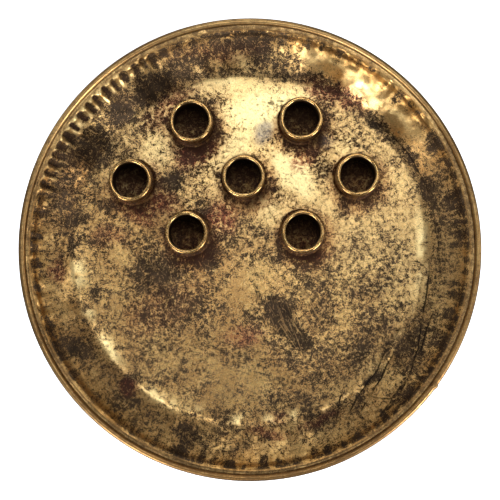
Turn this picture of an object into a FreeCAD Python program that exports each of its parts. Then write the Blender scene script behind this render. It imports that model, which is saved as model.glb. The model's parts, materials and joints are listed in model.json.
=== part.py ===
import FreeCAD, Part
import math
import os

import Sketcher

# Flower frog dish: a shallow round dish of sheet iron whose edge is rolled over a wire, with
# seven short open tubes brazed to its floor in rows of two, three and two. Stems stand in the
# tubes. Each tube's foot is ringed by a braze fillet, and four soft pads under the floor keep
# the dish off the table.
#
# Frame: millimetres, +Z up, origin on the table under the dish's centre. The tubes are towards
# +Y, which leaves the open side of the floor towards -Y.

DIMENSIONS = {
    # dish
    "overall_dia": 305.0,  # over the rolled rim
    "rim_height": 25.0,  # table to the top of the rolled rim
    "sheet_thick": 1.0,
    "floor_flat_dia": 232.0,  # where the floor starts to bend up
    "floor_bend_radius": 10.0,  # upper skin
    "wall_angle": 34.0,  # degrees above the floor, on the straight part
    "wall_curl_radius": 14.0,  # upper skin, where the wall steepens
    "lip_bend_radius": 2.2,  # upper skin, where the wall turns out into the flange
    "flange_width": 5.4,  # straight part, up to the rim wire's centre
    "bead_dia": 4.2,  # outside of the sheet rolled over the wire
    "bead_end_angle": 200.0,  # degrees, where the rolled sheet's raw edge stops
    "wire_slack": 0.02,  # between the wire and the rolled sheet
    # tubes
    "tube_outer_dia": 28.0,
    "tube_inner_dia": 23.0,
    "tube_height": 28.0,
    "tube_lip_round": 0.9,
    "cluster_x": -4.0,  # the middle tube
    "cluster_y": 48.0,
    "column_step": 37.5,  # half the gap between two tubes of one row
    "row_step": 37.5,
    # braze round each tube's foot
    "braze_leg": 2.0,
    "braze_hollow_radius": 3.0,
    # pads
    "pad_dia": 12.0,
    "pad_thick": 1.5,
    "pad_edge_round": 0.4,
    "pad_circle_dia": 190.0,
}

# Tube number: column and row on the lattice, in steps from the middle tube, then how far
# this tube strays from its lattice place, because each one was set down by hand.
TUBES = {
    1: (-1, 1, 3.0, -1.0),
    2: (1, 1, 0.5, 0.5),
    3: (-2, 0, 0.5, -2.5),
    4: (0, 0, 0.0, 0.0),
    5: (2, 0, 0.0, 1.0),
    6: (-1, -1, 0.0, 0.5),
    7: (1, -1, 1.5, 1.0),
}

PAD_ANGLES = (45, 135, 225, 315)  # degrees round the dish
SAME_HEIGHT = 1e-6  # millimetres, how far apart two heights count as one

doc = FreeCAD.newDocument("flower_frog")


# ---- spreadsheet and small helpers -------------------------------------------------------


def make_sheet():
    """The driving dimensions, one alias a row: label in column A, number in column B."""
    cells = dict(DIMENSIONS)
    for number, (_, _, stray_x, stray_y) in TUBES.items():
        cells[f"stray_{number}_x"] = stray_x
        cells[f"stray_{number}_y"] = stray_y
    sheet = doc.addObject("Spreadsheet::Sheet", "dims")
    for row, (alias, value) in enumerate(cells.items(), start=1):
        sheet.set(f"A{row}", alias)
        sheet.set(f"B{row}", str(value))
        sheet.setAlias(f"B{row}", alias)
    doc.recompute()
    return sheet


sheet = make_sheet()


def size(alias):
    """A driving dimension's value, read back from the sheet."""
    return float(sheet.get(alias))


def vec(x, y):
    return FreeCAD.Vector(x, y, 0)


def polar(centre, radius, degrees):
    """The point at an angle on a circle, in a sketch's plane."""
    turn = math.radians(degrees)
    return centre + radius * vec(math.cos(turn), math.sin(turn))


def origin_item(body, role):
    return next(f for f in body.Origin.OriginFeatures if f.Role == role)


def new_body(label):
    body = doc.addObject("PartDesign::Body", label)
    body.Label = label
    return body


def new_sketch(body, plane, name):
    sketch = body.newObject("Sketcher::SketchObject", f"{name}_of_{body.Name}")
    sketch.AttachmentSupport = (origin_item(body, plane), [""])
    sketch.MapMode = "FlatFace"
    return sketch


def add_arc(sketch, centre, radius, start, end):
    """An arc that runs anticlockwise from the start angle to the end angle, in degrees."""
    circle = Part.Circle(centre, FreeCAD.Vector(0, 0, 1), radius)
    return sketch.addGeometry(Part.ArcOfCircle(circle, math.radians(start), math.radians(end)), False)


def add_line(sketch, start, end):
    return sketch.addGeometry(Part.LineSegment(start, end), False)


def constrain(sketch, *parts):
    """Adds one constraint, and returns its index."""
    return sketch.addConstraint(Sketcher.Constraint(*parts))


def drive(sketch, expression, kind, *parts):
    """Adds a constraint with a size, and binds that size to the spreadsheet."""
    index = constrain(sketch, kind, *parts)
    sketch.setExpression(f"Constraints[{index}]", expression)
    return index


def revolve(body, sketch):
    feature = body.newObject("PartDesign::Revolution", f"turned_{body.Name}")
    feature.Profile = sketch
    feature.ReferenceAxis = (sketch, ["V_Axis"])
    feature.Angle = 360.0
    body.Tip = feature
    return feature


def pad_up(body, sketch, length):
    feature = body.newObject("PartDesign::Pad", f"padded_{body.Name}")
    feature.Profile = sketch
    feature.setExpression("Length", length)
    body.Tip = feature
    doc.recompute()
    return feature


def round_edges_at(body, feature, height, radius):
    """Rounds the feature's circular edges that lie at one height."""
    edges = [
        f"Edge{number}"
        for number, edge in enumerate(feature.Shape.Edges, start=1)
        if all(abs(vertex.Z - height) < SAME_HEIGHT for vertex in edge.Vertexes)
    ]
    fillet = body.newObject("PartDesign::Fillet", f"rounded_{body.Name}")
    fillet.Base = (feature, edges)
    fillet.setExpression("Radius", radius)
    body.Tip = fillet
    return fillet


# ---- dish pan ------------------------------------------------------------------------------

START, END, CENTRE = 1, 2, 3  # a sketch edge's points
H_AXIS, V_AXIS = -1, -2  # the sketch's own axes
ORIGIN = (H_AXIS, START)


def wall_curl(floor_end, flange_bend_centre):
    """Where the wall's straight part ends, and the centre of the arc that steepens it.

    The arc is tangent to the straight part, which leaves the floor bend at the wall's angle,
    and to the lip bend, whose centre is known. That gives a quadratic in the straight length.
    """
    angle = size("wall_angle")
    bend_centre = floor_end + vec(0, size("floor_bend_radius"))
    wall_start = polar(bend_centre, size("floor_bend_radius"), angle - 90)
    along = polar(vec(0, 0), 1, angle)
    first_centre = polar(wall_start, size("wall_curl_radius"), angle + 90)
    apart = size("wall_curl_radius") + size("lip_bend_radius")
    gap = first_centre - flange_bend_centre
    half_b = gap.dot(along)
    straight = -half_b - math.sqrt(half_b**2 - (gap.dot(gap) - apart**2))
    return wall_start, wall_start + along * straight, first_centre + along * straight


def dish_pan():
    """The sheet: flat floor, sloping wall, flange, and the edge rolled over the wire.

    The section has an upper and a lower skin. Every bend's two arcs share a centre, so the
    tangencies keep the sheet's thickness.
    """
    body = new_body("dish_pan")
    section = new_sketch(body, "XZ_Plane", "section")
    thick = size("sheet_thick")
    angle = size("wall_angle")
    bend, curl, lip = (size(f"{part}_radius") for part in ("floor_bend", "wall_curl", "lip_bend"))
    wire = size("bead_dia") / 2 - thick
    bead_end = size("bead_end_angle")
    under = size("pad_thick")
    floor = under + thick
    flange = size("rim_height") - size("bead_dia") + thick

    floor_end = vec(size("floor_flat_dia") / 2, floor)
    bead_centre = vec((size("overall_dia") - size("bead_dia")) / 2, flange + wire)
    flange_start = vec(bead_centre.x - size("flange_width"), flange)
    lip_centre = flange_start - vec(0, lip)
    wall_start, wall_end, curl_centre = wall_curl(floor_end, lip_centre)
    to_curl = lip_centre - curl_centre
    steep = math.degrees(math.atan2(to_curl.y, to_curl.x))

    def skin(drop):
        """One skin's edges from the axis to the raw edge, drop below the upper skin."""
        down = polar(vec(0, 0), drop, angle - 90)
        straight_down = vec(0, -drop)
        bend_centre = floor_end + vec(0, bend)
        return [
            add_line(section, vec(0, floor - drop), floor_end + straight_down),
            add_arc(section, bend_centre, bend + drop, -90, angle - 90),
            add_line(section, wall_start + down, wall_end + down),
            add_arc(section, curl_centre, curl + drop, angle - 90, steep),
            add_arc(section, lip_centre, lip - drop, 90, steep + 180),
            add_line(section, flange_start + straight_down, vec(bead_centre.x, flange - drop)),
            add_arc(section, bead_centre, wire + drop, -90, bead_end),
        ]

    upper, lower = skin(0), skin(thick)
    axis_edge = add_line(section, vec(0, under), vec(0, floor))
    raw_edge = add_line(
        section,
        polar(bead_centre, wire, bead_end),
        polar(bead_centre, wire + thick, bead_end),
    )

    floor_line, floor_arc, wall_line, curl_arc, lip_arc, flange_line, bead_arc = range(7)
    for edges in (upper, lower):
        joints = [
            (floor_line, END, floor_arc, START),
            (floor_arc, END, wall_line, START),
            (wall_line, END, curl_arc, START),
            (curl_arc, END, lip_arc, END),
            (lip_arc, START, flange_line, START),
            (flange_line, END, bead_arc, START),
        ]
        for first, first_end, second, second_end in joints:
            constrain(section, "Tangent", edges[first], first_end, edges[second], second_end)
        constrain(section, "Horizontal", edges[floor_line])
        constrain(section, "Horizontal", edges[flange_line])
    for bent in (floor_arc, curl_arc, lip_arc, bead_arc):
        constrain(section, "Coincident", upper[bent], CENTRE, lower[bent], CENTRE)
    constrain(section, "Parallel", upper[wall_line], lower[wall_line])
    constrain(section, "Coincident", axis_edge, START, lower[floor_line], START)
    constrain(section, "Coincident", axis_edge, END, upper[floor_line], START)
    constrain(section, "PointOnObject", axis_edge, START, V_AXIS)
    constrain(section, "Vertical", axis_edge)
    constrain(section, "Coincident", raw_edge, START, upper[bead_arc], END)
    constrain(section, "Coincident", raw_edge, END, lower[bead_arc], END)
    constrain(section, "PointOnObject", upper[bead_arc], CENTRE, raw_edge)

    drive(section, "dims.pad_thick", "DistanceY", *ORIGIN, axis_edge, START, under)
    drive(section, "dims.sheet_thick", "DistanceY", axis_edge, START, axis_edge, END, thick)
    drive(
        section,
        "dims.floor_flat_dia / 2",
        "DistanceX",
        upper[floor_line],
        START,
        upper[floor_line],
        END,
        floor_end.x,
    )
    drive(section, "dims.floor_bend_radius", "Radius", upper[floor_arc], bend)
    drive(section, "dims.wall_curl_radius", "Radius", upper[curl_arc], curl)
    drive(section, "dims.lip_bend_radius", "Radius", upper[lip_arc], lip)
    drive(section, "dims.bead_dia / 2 - dims.sheet_thick", "Radius", upper[bead_arc], wire)
    drive(section, "dims.wall_angle * 1 deg", "Angle", upper[wall_line], math.radians(angle))
    drive(
        section,
        "dims.flange_width",
        "DistanceX",
        upper[flange_line],
        START,
        upper[flange_line],
        END,
        size("flange_width"),
    )
    drive(
        section,
        "(dims.overall_dia - dims.bead_dia) / 2",
        "DistanceX",
        *ORIGIN,
        upper[bead_arc],
        CENTRE,
        bead_centre.x,
    )
    drive(
        section,
        "dims.rim_height - dims.bead_dia / 2",
        "DistanceY",
        *ORIGIN,
        upper[bead_arc],
        CENTRE,
        bead_centre.y,
    )
    drive(section, "dims.bead_end_angle * 1 deg", "Angle", raw_edge, math.radians(bead_end))
    revolve(body, section)
    return body


def rim_wire():
    """The iron wire inside the rolled edge."""
    wire = doc.addObject("Part::Torus", "rim_wire")
    wire.Label = "rim_wire"
    wire.setExpression("Radius1", "(dims.overall_dia - dims.bead_dia) / 2")
    wire.setExpression("Radius2", "dims.bead_dia / 2 - dims.sheet_thick - dims.wire_slack")
    wire.setExpression("Placement.Base.z", "dims.rim_height - dims.bead_dia / 2")
    return wire


# ---- tubes and their braze -----------------------------------------------------------------


def place_at_tube(body, number):
    """Stands a sub-part on the dish's floor at a tube's place."""
    column, row, _, _ = TUBES[number]
    body.setExpression(
        "Placement.Base.x",
        f"dims.cluster_x + {column} * dims.column_step + dims.stray_{number}_x",
    )
    body.setExpression(
        "Placement.Base.y",
        f"dims.cluster_y + {row} * dims.row_step + dims.stray_{number}_y",
    )
    body.setExpression("Placement.Base.z", "dims.pad_thick + dims.sheet_thick")


def stem_tube(number):
    """An open length of thick tube with a rounded lip."""
    body = new_body(f"stem_tube_{number}")
    ring = new_sketch(body, "XY_Plane", "ring")
    for which in ("outer", "inner"):
        diameter = size(f"tube_{which}_dia")
        circle = Part.Circle(vec(0, 0), FreeCAD.Vector(0, 0, 1), diameter / 2)
        index = ring.addGeometry(circle, False)
        constrain(ring, "Coincident", index, CENTRE, *ORIGIN)
        drive(ring, f"dims.tube_{which}_dia", "Diameter", index, diameter)
    wall = pad_up(body, ring, "dims.tube_height")
    round_edges_at(body, wall, size("tube_height"), "dims.tube_lip_round")
    place_at_tube(body, number)
    return body


def braze_fillet(number):
    """The ring of braze in the corner between a tube's foot and the dish's floor."""
    body = new_body(f"braze_fillet_{number}")
    section = new_sketch(body, "XZ_Plane", "section")
    foot = size("tube_outer_dia") / 2
    leg, hollow = size("braze_leg"), size("braze_hollow_radius")
    corner, out, up = vec(foot, 0), vec(foot + leg, 0), vec(foot, leg)
    middle = (out + up) * 0.5
    away = polar(vec(0, 0), math.sqrt(hollow**2 - leg**2 / 2), 45)
    centre = middle + away
    half_turn = math.degrees(math.asin(leg / math.sqrt(2) / hollow))
    base = add_line(section, corner, out)
    side = add_line(section, corner, up)
    face = add_arc(section, centre, hollow, 225 - half_turn, 225 + half_turn)
    constrain(section, "Coincident", base, START, side, START)
    constrain(section, "Coincident", base, END, face, END)
    constrain(section, "Coincident", side, END, face, START)
    constrain(section, "Vertical", side)
    constrain(section, "Horizontal", base)
    constrain(section, "Equal", base, side)
    constrain(section, "PointOnObject", base, START, H_AXIS)
    drive(section, "dims.tube_outer_dia / 2", "DistanceX", *ORIGIN, base, START, foot)
    drive(section, "dims.braze_leg", "DistanceX", base, START, base, END, leg)
    drive(section, "dims.braze_hollow_radius", "Radius", face, hollow)
    revolve(body, section)
    place_at_tube(body, number)
    return body


# ---- pads ----------------------------------------------------------------------------------


def floor_pad(number, angle):
    """A soft round pad stuck under the floor, its lower edge rounded."""
    body = new_body(f"floor_pad_{number}")
    disc = new_sketch(body, "XY_Plane", "disc")
    radius = size("pad_dia") / 2
    circle = Part.Circle(vec(0, 0), FreeCAD.Vector(0, 0, 1), radius)
    index = disc.addGeometry(circle, False)
    constrain(disc, "Coincident", index, CENTRE, *ORIGIN)
    drive(disc, "dims.pad_dia", "Diameter", index, size("pad_dia"))
    cylinder = pad_up(body, disc, "dims.pad_thick")
    round_edges_at(body, cylinder, 0.0, "dims.pad_edge_round")
    body.setExpression("Placement.Base.x", f"dims.pad_circle_dia / 2 * cos({angle} deg)")
    body.setExpression("Placement.Base.y", f"dims.pad_circle_dia / 2 * sin({angle} deg)")
    return body


# ---- the whole dish ------------------------------------------------------------------------


def check(parts):
    """Stops the script if any object failed, or a sub-part isn't one valid solid."""
    for item in doc.Objects:
        if {"Invalid", "Error"} & set(item.State):
            raise RuntimeError(f"{item.Label} failed: {item.State}")
    for part in parts:
        shape = part.Shape
        if shape.isNull() or not shape.isValid() or len(shape.Solids) != 1:
            raise RuntimeError(f"{part.Label} isn't one valid solid")


def export(parts):
    os.makedirs("parts", exist_ok=True)
    for part in parts:
        part.Shape.exportStep(os.path.join("parts", f"{part.Label}.step"))
        box = part.Shape.optimalBoundingBox(False, False)
        print(
            f"{part.Label}: {part.Shape.Volume:.1f} mm3, "
            f"x {box.XMin:.2f}..{box.XMax:.2f}, y {box.YMin:.2f}..{box.YMax:.2f}, "
            f"z {box.ZMin:.2f}..{box.ZMax:.2f}"
        )


parts = [dish_pan(), rim_wire()]
parts += [stem_tube(number) for number in TUBES]
parts += [braze_fillet(number) for number in TUBES]
parts += [floor_pad(number, angle) for number, angle in enumerate(PAD_ANGLES, start=1)]
doc.recompute()
check(parts)
export(parts)
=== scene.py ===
import cmath
import json
import math

import bpy
import numpy as np
from mathutils import Matrix, Vector


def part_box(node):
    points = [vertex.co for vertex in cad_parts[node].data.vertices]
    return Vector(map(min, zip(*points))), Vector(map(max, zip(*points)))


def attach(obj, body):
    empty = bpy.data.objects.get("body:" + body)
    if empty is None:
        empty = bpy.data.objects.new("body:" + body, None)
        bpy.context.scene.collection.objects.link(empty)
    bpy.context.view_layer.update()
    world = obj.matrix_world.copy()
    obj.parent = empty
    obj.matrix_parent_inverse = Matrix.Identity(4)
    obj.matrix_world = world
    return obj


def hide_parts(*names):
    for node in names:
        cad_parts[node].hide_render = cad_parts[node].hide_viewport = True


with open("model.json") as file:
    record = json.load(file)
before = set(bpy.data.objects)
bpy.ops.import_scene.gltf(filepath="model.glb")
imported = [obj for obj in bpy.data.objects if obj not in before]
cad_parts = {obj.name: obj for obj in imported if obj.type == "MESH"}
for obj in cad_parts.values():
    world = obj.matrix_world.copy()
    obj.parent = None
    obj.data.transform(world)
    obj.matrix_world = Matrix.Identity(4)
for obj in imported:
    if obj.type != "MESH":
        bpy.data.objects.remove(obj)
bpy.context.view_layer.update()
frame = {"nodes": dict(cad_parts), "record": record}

# The looks of the flower frog: a round dish of hammered sheet iron under antiqued gold leaf, with
# seven short tubes brazed to its floor. Metres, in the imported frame: +Z up, the tubes towards +Y.
# Angles round the dish are degrees from +X towards +Y.

MM = 0.001

# ---- sizes from the frame ------------------------------------------------------------------

pan_low, pan_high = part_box("dish_pan")
wire_low, wire_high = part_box("rim_wire")
tube_low, tube_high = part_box("stem_tube_4")
braze_low, braze_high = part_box("braze_fillet_4")

FLOOR = tube_low.z
THICK = FLOOR - pan_low.z
TOP = pan_high.z
WIRE_RADIUS = (wire_high.z - wire_low.z) / 2
BEAD = complex(wire_high.x - WIRE_RADIUS, (wire_low.z + wire_high.z) / 2)
BEAD_RADIUS = TOP - BEAD.imag
FLANGE = TOP - 2 * BEAD_RADIUS + THICK
TUBE_OUTER = (tube_high.x - tube_low.x) / 2
TUBE_INNER = next(m["dims"]["r_mm"] for m in frame["record"]["mounts"] if m["kind"] == "bore") * MM
BRAZE_LEG = (braze_high.x - braze_low.x) / 2 - TUBE_OUTER


def middle(node):
    """The middle of a node's box, seen from above."""
    low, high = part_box(node)
    return (low.x + high.x) / 2, (low.y + high.y) / 2


TUBES = {number: middle(f"stem_tube_{number}") for number in range(1, 8)}
PADS = [middle(f"floor_pad_{number}") for number in range(1, 5)]

# The dish's bends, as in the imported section.
FLOOR_FLAT = 116 * MM
FLOOR_BEND = 10 * MM
WALL_ANGLE = 34
WALL_CURL = 14 * MM
LIP_BEND = 2.2 * MM
FLANGE_WIDTH = 5.4 * MM
BEAD_END = 200

# ---- smooth noise --------------------------------------------------------------------------

LATTICE = 256


def smooth(x):
    """0 to 1 with flat ends, for x from 0 to 1."""
    x = np.clip(x, 0, 1)
    return x * x * (3 - 2 * x)


def rise(distance, start, width):
    """0 up to start and 1 past start + width, which are in millimetres; distance is in metres."""
    return smooth((distance - start * MM) / (width * MM))


def noise(x, y, seed, wrap=LATTICE):
    """Smooth noise from -1 to 1 whose bumps are about 1 across. It repeats in x after wrap."""
    table = np.random.RandomState(seed).uniform(-1, 1, (LATTICE, LATTICE))
    i, j = np.floor(x).astype(int), np.floor(y).astype(int)
    u, v = smooth(x - i), smooth(y - j)
    i, k = i % wrap, (i + 1) % wrap
    j, m = j % LATTICE, (j + 1) % LATTICE
    near = table[i, j] * (1 - u) + table[k, j] * u
    far = table[i, m] * (1 - u) + table[k, m] * u
    return near * (1 - v) + far * v


def patchy(x, y, size, seed, layers=3):
    """Layered noise over the plan, about -1 to 1. Its largest patches are size millimetres."""
    total = 0
    for layer in range(layers):
        step = size * MM / 2**layer
        total = total + noise(x / step, y / step, seed + layer) / 1.7**layer
    return total / 1.6


def around(theta, count, seed):
    """Noise round the dish, count bumps to the turn; theta is in degrees."""
    turns = theta / 360 % 1
    return noise(turns * count, np.zeros_like(turns), seed, wrap=count)


def bell(x, centre, width):
    """1 at centre, falling off over width to each side."""
    return np.exp(-(((x - centre) / width) ** 2))


def turn_gap(theta, centre):
    """How far round an angle is from another, from -180 to 180 degrees."""
    return (theta - centre + 180) % 360 - 180


def near_angle(theta, centre, width):
    """1 at an angle round the dish, falling off over width degrees to each side."""
    return bell(turn_gap(theta, centre), 0, width)


def plan(radius, theta):
    """The x and y of points at a radius from the middle and an angle round it."""
    turn = np.radians(theta)
    return radius * np.cos(turn), radius * np.sin(turn)


def round_points(radius, theta, height, centre=(0.0, 0.0)):
    """Points in space, round an upright axis through centre."""
    x, y = plan(radius, theta)
    return np.stack([centre[0] + x, centre[1] + y, height], 1)


# ---- the dish's section --------------------------------------------------------------------


def polar(degrees, radius=1.0):
    return cmath.rect(radius, math.radians(degrees))


def line(start, end, steps):
    return [start + (end - start) * k / steps for k in range(1, steps + 1)]


def arc(centre, radius, start, end, steps):
    return [centre + polar(start + (end - start) * k / steps, radius) for k in range(1, steps + 1)]


def section(drop, steps):
    """One skin from the floor's edge to the rolled edge's end, drop below the upper skin.

    Each point is r + z*1j. steps says how many pieces the bend, wall, curl, lip, flange and
    rolled edge are cut into. It returns the points and each one's share of the roll, 0 to 1.
    """
    floor_end = complex(FLOOR_FLAT, FLOOR)
    bend_centre = floor_end + FLOOR_BEND * 1j
    wall_start = bend_centre + polar(WALL_ANGLE - 90, FLOOR_BEND)
    along = polar(WALL_ANGLE)
    flange_start = complex(BEAD.real - FLANGE_WIDTH, FLANGE)
    lip_centre = flange_start - LIP_BEND * 1j
    first_centre = wall_start + polar(WALL_ANGLE + 90, WALL_CURL)
    gap = first_centre - lip_centre
    half_b = (gap * along.conjugate()).real
    straight = -half_b - math.sqrt(half_b**2 - abs(gap) ** 2 + (WALL_CURL + LIP_BEND) ** 2)
    wall_end = wall_start + along * straight
    curl_centre = first_centre + along * straight
    steep = math.degrees(cmath.phase(lip_centre - curl_centre))
    down = polar(WALL_ANGLE - 90, drop)
    wire = BEAD_RADIUS - THICK

    points = [floor_end - drop * 1j]
    points += arc(bend_centre, FLOOR_BEND + drop, -90, WALL_ANGLE - 90, steps[0])
    points += line(wall_start + down, wall_end + down, steps[1])
    points += arc(curl_centre, WALL_CURL + drop, WALL_ANGLE - 90, steep, steps[2])
    points += arc(lip_centre, LIP_BEND - drop, steep + 180, 90, steps[3])
    points += line(flange_start - drop * 1j, complex(BEAD.real, FLANGE - drop), steps[4])
    rolled = [0.0] * len(points)
    points += arc(BEAD, wire + drop, -90, BEAD_END, steps[5])
    rolled += [k / steps[5] for k in range(1, steps[5] + 1)]
    return points, rolled


# ---- the dish's hand-worked shape ----------------------------------------------------------

# Runs of flutes round the wall's top: middle angle, half the run, degrees between flutes, depth,
# how far the ledge above them reaches in, and their length, in millimetres.
FLUTE_RUNS = [
    (140, 24, 3.3, 2.6, 1.7, 13),
    (183, 19, 3.7, 1.5, 0.9, 12),
    (228, 26, 5.2, 0.35, 0.2, 9),
    (280, 26, 4.8, 0.3, 0.1, 9),
    (328, 22, 4.6, 0.4, 0.2, 9),
    (12, 22, 4.2, 0.55, 0.3, 10),
    (66, 32, 5.2, 1.6, 1.4, 13),
    (107, 9, 4.4, 0.7, 0.6, 10),
]

# Places where the floor turns up to the wall more gently: angle, half width, height in
# millimetres that the sheet stands above the plain section there.
CROWNS = [
    (-172, 8, 1.6), (-160, 5, 1.5), (-145, 9, 2.4), (-121, 7, 2.0), (-109, 5, 1.4),
    (-94, 4, 1.2), (-84, 3, 1.1), (-75, 3, 1.1), (-66, 3, 0.9), (-45, 9, 0.5),
    (-30, 8, 0.6), (0, 22, 1.2), (98, 8, 1.1), (108, 4, 1.0),
]
CROWN_LEAST = 0.15

# Dents and waves of the sheet: height and size of the patches in millimetres, seed.
FLOOR_WAVES = [(0.34, 52, 11), (0.10, 17, 15), (0.025, 6, 19)]
WALL_WAVES = [(0.60, 24, 23), (0.16, 8, 27)]

# Where the wall has more dents: middle angle, half width, height, size of the patches, seed.
DENTS = [(60, 26, 0.75, 9, 29), (140, 28, 0.60, 6, 39)]

# How the floor's edge wanders in and out: millimetres, waves to the turn, seed.
EDGE_WANDER = [(1.3, 13, 41), (0.7, 37, 43), (0.35, 97, 47)]
EDGE_MIDDLE = 119 * MM
CROWN_MIDDLE = 126 * MM

# The middle of the run of deep flutes at the upper left, in degrees.
FLUTED = 140

# The ledge that the flutes end under: where it starts, the slope of its front, and its ridges'
# radius, half width and height in millimetres, bumps to the turn and seed.
LIP = BEAD.real - FLANGE_WIDTH
LEDGE_SLOPE = math.tan(math.radians(60))
RIDGES = [(146.1, 0.45, 0.22, 90, 61), (147.7, 0.4, 0.24, 120, 67)]

# How far a tube or a pad keeps the floor round it flat, and over what width that fades.
TUBE_HOLD, PAD_HOLD, HOLD_FADE = 17 * MM, 7 * MM, 8 * MM

# Cracks and long scratches, most of them at the lower right: plan points in millimetres.
LONG_CRACKS = [
    [(100, -54), (96, -62), (91, -68), (86, -80), (80, -88), (71, -100), (66, -109)],
    [(121, -8), (119, -27), (115, -48), (112, -65), (107, -80)],
    [(95, 77), (108, 60), (119, 39)],
]
SHORT_CRACKS = [
    [(78, -97), (86, -99), (94, -99), (100, -91)], [(94, -100), (86, -110)], [(84, -92), (74, -107)],
    [(121, -44), (118, -52), (114, -66)], [(96, -70), (88, -86), (82, -94)],
    [(126, 6), (127, -18)], [(103, -88), (98, -98), (91, -106)], [(61, -98), (58, -112)],
]


def make_flutes():
    """Each flute's angle, half width, depth and length, in order round the dish."""
    rng = np.random.RandomState(31)
    flutes = []
    for centre, half, apart, depth, _, length in FLUTE_RUNS:
        angle = centre - half + apart * rng.uniform(0.2, 0.6)
        while angle < centre + half:
            width = apart * rng.uniform(0.34, 0.62)
            deep, long = depth * rng.uniform(0.45, 1.25) * MM, length * rng.uniform(0.6, 1.3) * MM
            flutes.append((angle % 360, width, deep, long))
            angle += apart * rng.uniform(0.7, 1.35)
    return np.array(sorted(flutes))


FLUTES = make_flutes()


def flute_cut(station, theta):
    """How much of a flute is at a point of the wall (0 to 1), and its depth there."""
    flute_top = LIP + 0.4 * MM
    mask, depth = np.zeros_like(theta), np.zeros_like(theta)
    place = np.searchsorted(FLUTES[:, 0], theta % 360)
    for neighbour in (-1, 0):
        angle, width, deep, length = FLUTES[(place + neighbour) % len(FLUTES)].T
        across = turn_gap(theta, angle) / width
        down = (flute_top - station) / length
        arch = np.sqrt(1 - (1 - np.clip(down / 0.22, 0, 1)) ** 2) + 1e-6
        inside = np.where(np.abs(across) < arch, np.cos(np.pi / 2 * across / arch) ** 2, 0)
        inside = np.where((down > 0) & (down < 1), inside, 0) ** 0.7
        mask = np.maximum(mask, inside * smooth((1 - down) * 3))
        depth = np.maximum(depth, deep * inside * smooth((1 - down) / 0.7))
    return mask, depth


def crack_offset(x, y, cracks):
    """Distance in plan to the nearest crack, below zero on one side of it."""
    spot = x + 1j * y
    nearest = np.full_like(x, 1.0)
    for crack in cracks:
        points = [complex(*point) * MM for point in crack]
        for start, end in zip(points, points[1:]):
            place = (spot - start) / (end - start)
            away = np.abs(place - np.clip(place.real, 0, 1)) * abs(end - start)
            side = np.where(place.imag > 0, 1, -1)
            nearest = np.where(away < np.abs(nearest), side * away, nearest)
    return nearest


def away_from(spots, x, y, clear, fade):
    """0 within clear of any of the spots, rising to 1 over fade."""
    share = np.ones_like(x)
    for px, py in spots:
        share = share * smooth((np.hypot(x - px, y - py) - clear) / fade)
    return share


def waves(x, y, layers):
    """Layers of unevenness, added up, in metres."""
    return sum(height * MM * patchy(x, y, size, seed) for height, size, seed in layers)


def crown_lift(station, theta):
    """How far the gentle turn-ups at the floor's edge stand above the plain section."""
    crown = CROWN_LEAST + 0 * theta
    for angle, half, height in CROWNS:
        crown = np.maximum(crown, height * near_angle(theta, angle, half))
    crown *= 1 + 0.3 * around(theta, 44, 57)
    below_flutes = 1 - rise(station, 136, 8)
    return crown * MM * bell(station, CROWN_MIDDLE, 12 * MM) * below_flutes


def ledge_lift(station, theta, height):
    """How far the ledge stands above the plain section, whose heights are given."""
    angles, reaches = zip(*sorted((run[0], run[4]) for run in FLUTE_RUNS))
    reach = np.interp(theta, angles, reaches, period=360) * MM * (1 + 0.6 * around(theta, 75, 53))
    front = FLANGE - 0.1 * MM - np.maximum(0, LIP - reach - station) * LEDGE_SLOPE
    return np.maximum(front - height, 0) * (station > 130 * MM) * (station <= LIP + 1e-6)


def hand_work(station, theta, base):
    """How the hammered sheet strays from its plain section: outward and upward, in metres."""
    x, y = plan(station, theta)
    flat = 1 - rise(station, 112, 8)
    wall = rise(station, 117, 8) * (1 - rise(station, 141, 4))
    flat *= away_from(TUBES.values(), x, y, TUBE_HOLD, HOLD_FADE)
    flat *= away_from(PADS, x, y, PAD_HOLD, HOLD_FADE)

    lift = flat * waves(x, y, FLOOR_WAVES) + wall * waves(x, y, WALL_WAVES)
    for angle, half, *layer in DENTS:
        lift += wall * near_angle(theta, angle, half) * waves(x, y, [layer])
    lift += crown_lift(station, theta)
    wander = sum(reach * around(theta, count, seed) for reach, count, seed in EDGE_WANDER)
    shift = bell(station, EDGE_MIDDLE, 7 * MM) * MM * wander

    mask, depth = flute_cut(station, theta)
    lift += ledge_lift(station, theta, base.imag) * (1 - mask) - depth
    crack = np.abs(crack_offset(x, y, LONG_CRACKS))
    lift += MM * (0.16 * bell(crack, 3 * MM, 1.5 * MM) - 0.30 * bell(crack, 0, 1.4 * MM))
    return shift, lift + ledge_marks(station, theta)


def ledge_marks(station, theta):
    """The crimped ledge inside the rolled edge: two low ridges and slanted ticks across them."""
    on_ledge = (station > 144.6 * MM) & (station < 149 * MM)
    slant = theta + (station - 146.5 * MM) / MM * 0.35 + 1.2 * around(theta, 40, 71)
    marks = -0.14 * bell((slant / 6.7 + 0.5) % 1 - 0.5, 0, 0.055)
    for radius, half, height, count, seed in RIDGES:
        marks += height * bell(station, radius * MM, half * MM) * (0.6 + 0.5 * around(theta, count, seed))
    return on_ledge * MM * marks


# ---- meshes out of rings -------------------------------------------------------------------


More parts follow.
